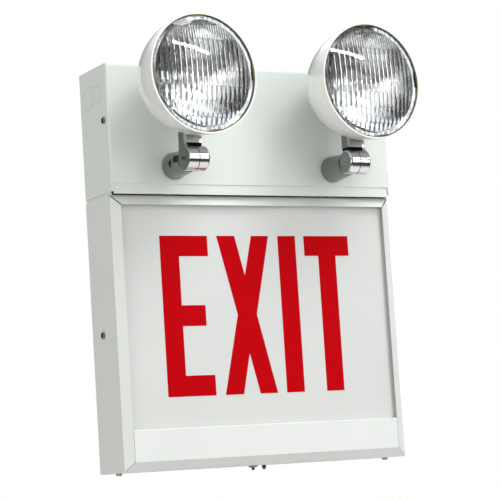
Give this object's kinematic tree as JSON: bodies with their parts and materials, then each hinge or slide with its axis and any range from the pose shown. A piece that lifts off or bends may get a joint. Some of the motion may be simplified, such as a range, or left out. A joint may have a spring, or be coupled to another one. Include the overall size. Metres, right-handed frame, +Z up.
{
  "type": "emergency exit light",
  "caption": "White wall-mounted exit sign with red letters on a lit panel below a battery box that carries swivelling round floodlamp heads.",
  "frame": {"origin": "on the wall plane, at the centre of the outlet-box screw holes and the conduit entry in the back of the upper box", "axes": "+X to the right as seen by a person facing the sign, +Y back into the wall, +Z up"},
  "size_m": [0.309, 0.1501, 0.4194],
  "materials": {
    "housing_paint": "satin white",
    "panel_white": "translucent white, smooth",
    "zinc_plate": "zinc plated",
    "battery_case": "moulded",
    "transformer_steel": "varnished",
    "board_green": "solder mask",
    "board_white": "solder mask",
    "relay_black": "moulded",
    "aluminium_plain": "plain",
    "terminal_green": "moulded",
    "emitter_yellow": "clear over phosphor",
    "nylon_white": "moulded",
    "rubber_black": "soft",
    "switch_black": "moulded",
    "pilot_red": "tinted",
    "swivel_grey": "polished casting",
    "brass_screws": "bright",
    "lamp_housing": "satin white",
    "lens_glass": "pressed clear",
    "reflector_silver": "vacuum plated",
    "holder_cream": "ceramic",
    "bulb_glass": "clear"
  },
  "bodies": {
    "housing": {"back_pan": "housing_paint", "battery": "battery_case", "battery_bracket": "zinc_plate", "battery_terminals": "zinc_plate", "board_screws": "zinc_plate", "board_standoffs": "nylon_white", "bottom_cover": "housing_paint", "bottom_screws": "zinc_plate", "charge_relay": "relay_black", "charger_board": "board_green", "face_panel": "panel_white", "filter_capacitors": "aluminium_plain", "front_cover": "housing_paint", "heat_sink": "aluminium_plain", "joining_bolts": "zinc_plate", "joining_nuts": "zinc_plate", "light_board_spacers": "nylon_white", "light_boards": "board_white", "light_emitters": "emitter_yellow", "mounting_screws": "zinc_plate", "panel_channels": "housing_paint", "panel_pads": "rubber_black", "pilot_clip": "switch_black", "pilot_light": "pilot_red", "side_screws": "zinc_plate", "sign_housing": "housing_paint", "switch_nut": "zinc_plate", "terminal_block": "terminal_green", "test_switch": "switch_black", "transformer": "transformer_steel", "wire_bushing": "rubber_black"},
    "left_swivel": {"swivel_base_left": "swivel_grey", "stem_nut_left": "zinc_plate", "lock_screw_left": "brass_screws", "pivot_screw_left": "brass_screws"},
    "left_head": {"swivel_yoke_left": "swivel_grey", "yoke_screw_left": "zinc_plate", "head_housing_left": "lamp_housing", "lens_left": "lens_glass", "reflector_left": "reflector_silver", "lamp_gasket_left": "rubber_black", "bulb_holder_left": "holder_cream", "bulb_left": "bulb_glass", "lamp_terminals_left": "brass_screws"},
    "right_swivel": {"swivel_base_right": "swivel_grey", "stem_nut_right": "zinc_plate", "lock_screw_right": "brass_screws", "pivot_screw_right": "brass_screws"},
    "right_head": {"swivel_yoke_right": "swivel_grey", "yoke_screw_right": "zinc_plate", "head_housing_right": "lamp_housing", "lens_right": "lens_glass", "reflector_right": "reflector_silver", "lamp_gasket_right": "rubber_black", "bulb_holder_right": "holder_cream", "bulb_right": "bulb_glass", "lamp_terminals_right": "brass_screws"},
    "button": {"test_button": "switch_black"}
  },
  "joints": [
    {"name": "left_pan", "type": "hinge", "parent": "housing", "child": "left_swivel", "pos_m": [-0.087, -0.062, -0.035], "axis": [0, 1, 0], "range_deg": [-90, 15]},
    {"name": "left_tilt", "type": "hinge", "parent": "left_swivel", "child": "left_head", "pos_m": [-0.087, -0.106, -0.035], "axis": [1, 0, 0], "range_deg": [-5, 60]},
    {"name": "right_pan", "type": "hinge", "parent": "housing", "child": "right_swivel", "pos_m": [0.087, -0.062, -0.035], "axis": [0, 1, 0], "range_deg": [-15, 90]},
    {"name": "right_tilt", "type": "hinge", "parent": "right_swivel", "child": "right_head", "pos_m": [0.087, -0.106, -0.035], "axis": [1, 0, 0], "range_deg": [-5, 60]},
    {"name": "test_button_press", "type": "slide", "parent": "housing", "child": "button", "axis": [0, 0, 1], "range_m": [0, 0.0015], "stiffness_N_per_m": 1200, "springref_m": -0.001}
  ]
}
